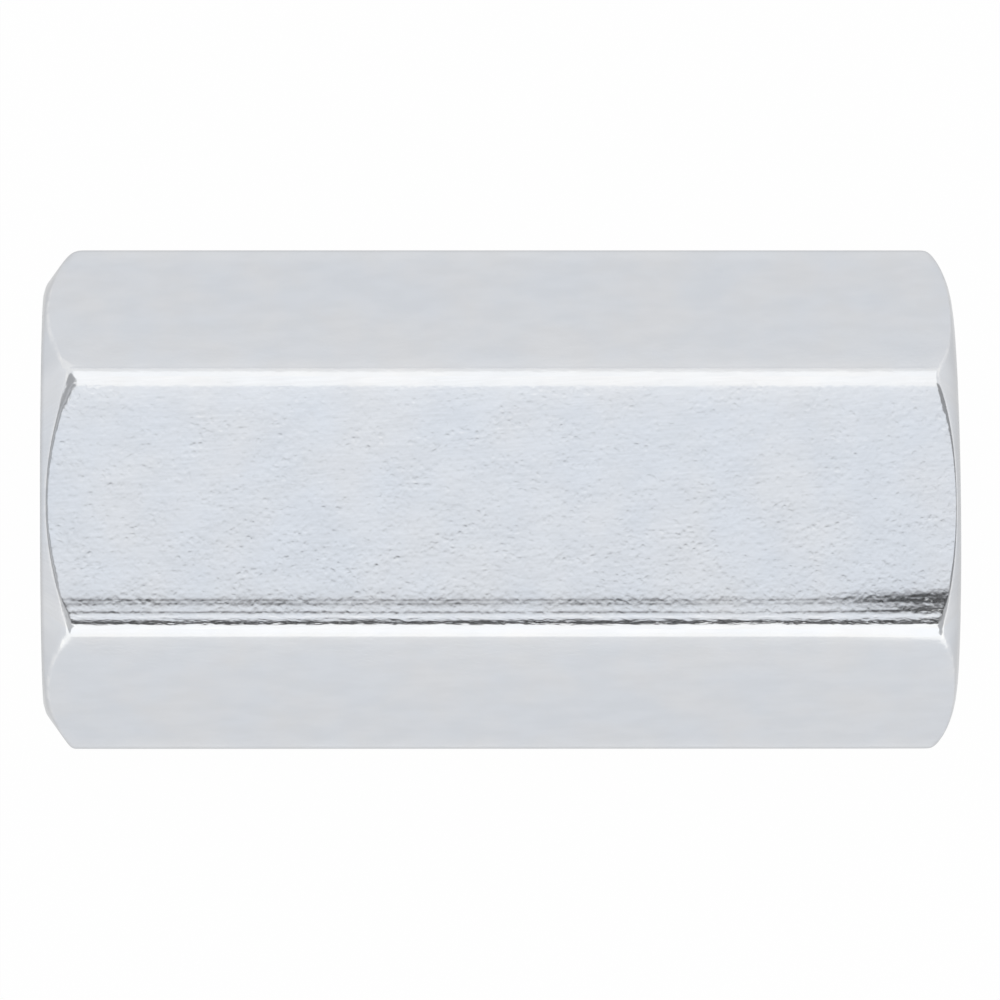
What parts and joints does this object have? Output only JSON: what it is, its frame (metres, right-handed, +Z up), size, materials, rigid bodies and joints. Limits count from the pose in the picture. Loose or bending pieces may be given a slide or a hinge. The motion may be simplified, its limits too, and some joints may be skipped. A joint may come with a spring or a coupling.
{
  "type": "threaded hex coupling",
  "caption": "Long hexagon coupling nut of zinc-plated steel, chamfered at both ends and threaded right through, to join threaded rods end to end.",
  "frame": {"origin": "centre of the threaded bore at the middle of its length, which is also the middle of the part", "axes": "+X along the thread's axis, +Z up, square to the top flat; the part lies on the flat at z = -12 mm, with two corners pointing along +Y and -Y"},
  "size_m": [0.05, 0.0274, 0.024],
  "materials": {
    "zinc_plated_steel": "bright zinc plating with a faint blue passivation, satin on the flats and brighter on the rubbed edges"
  },
  "bodies": {
    "root": {"hex_coupling": "zinc_plated_steel"}
  },
  "joints": []
}
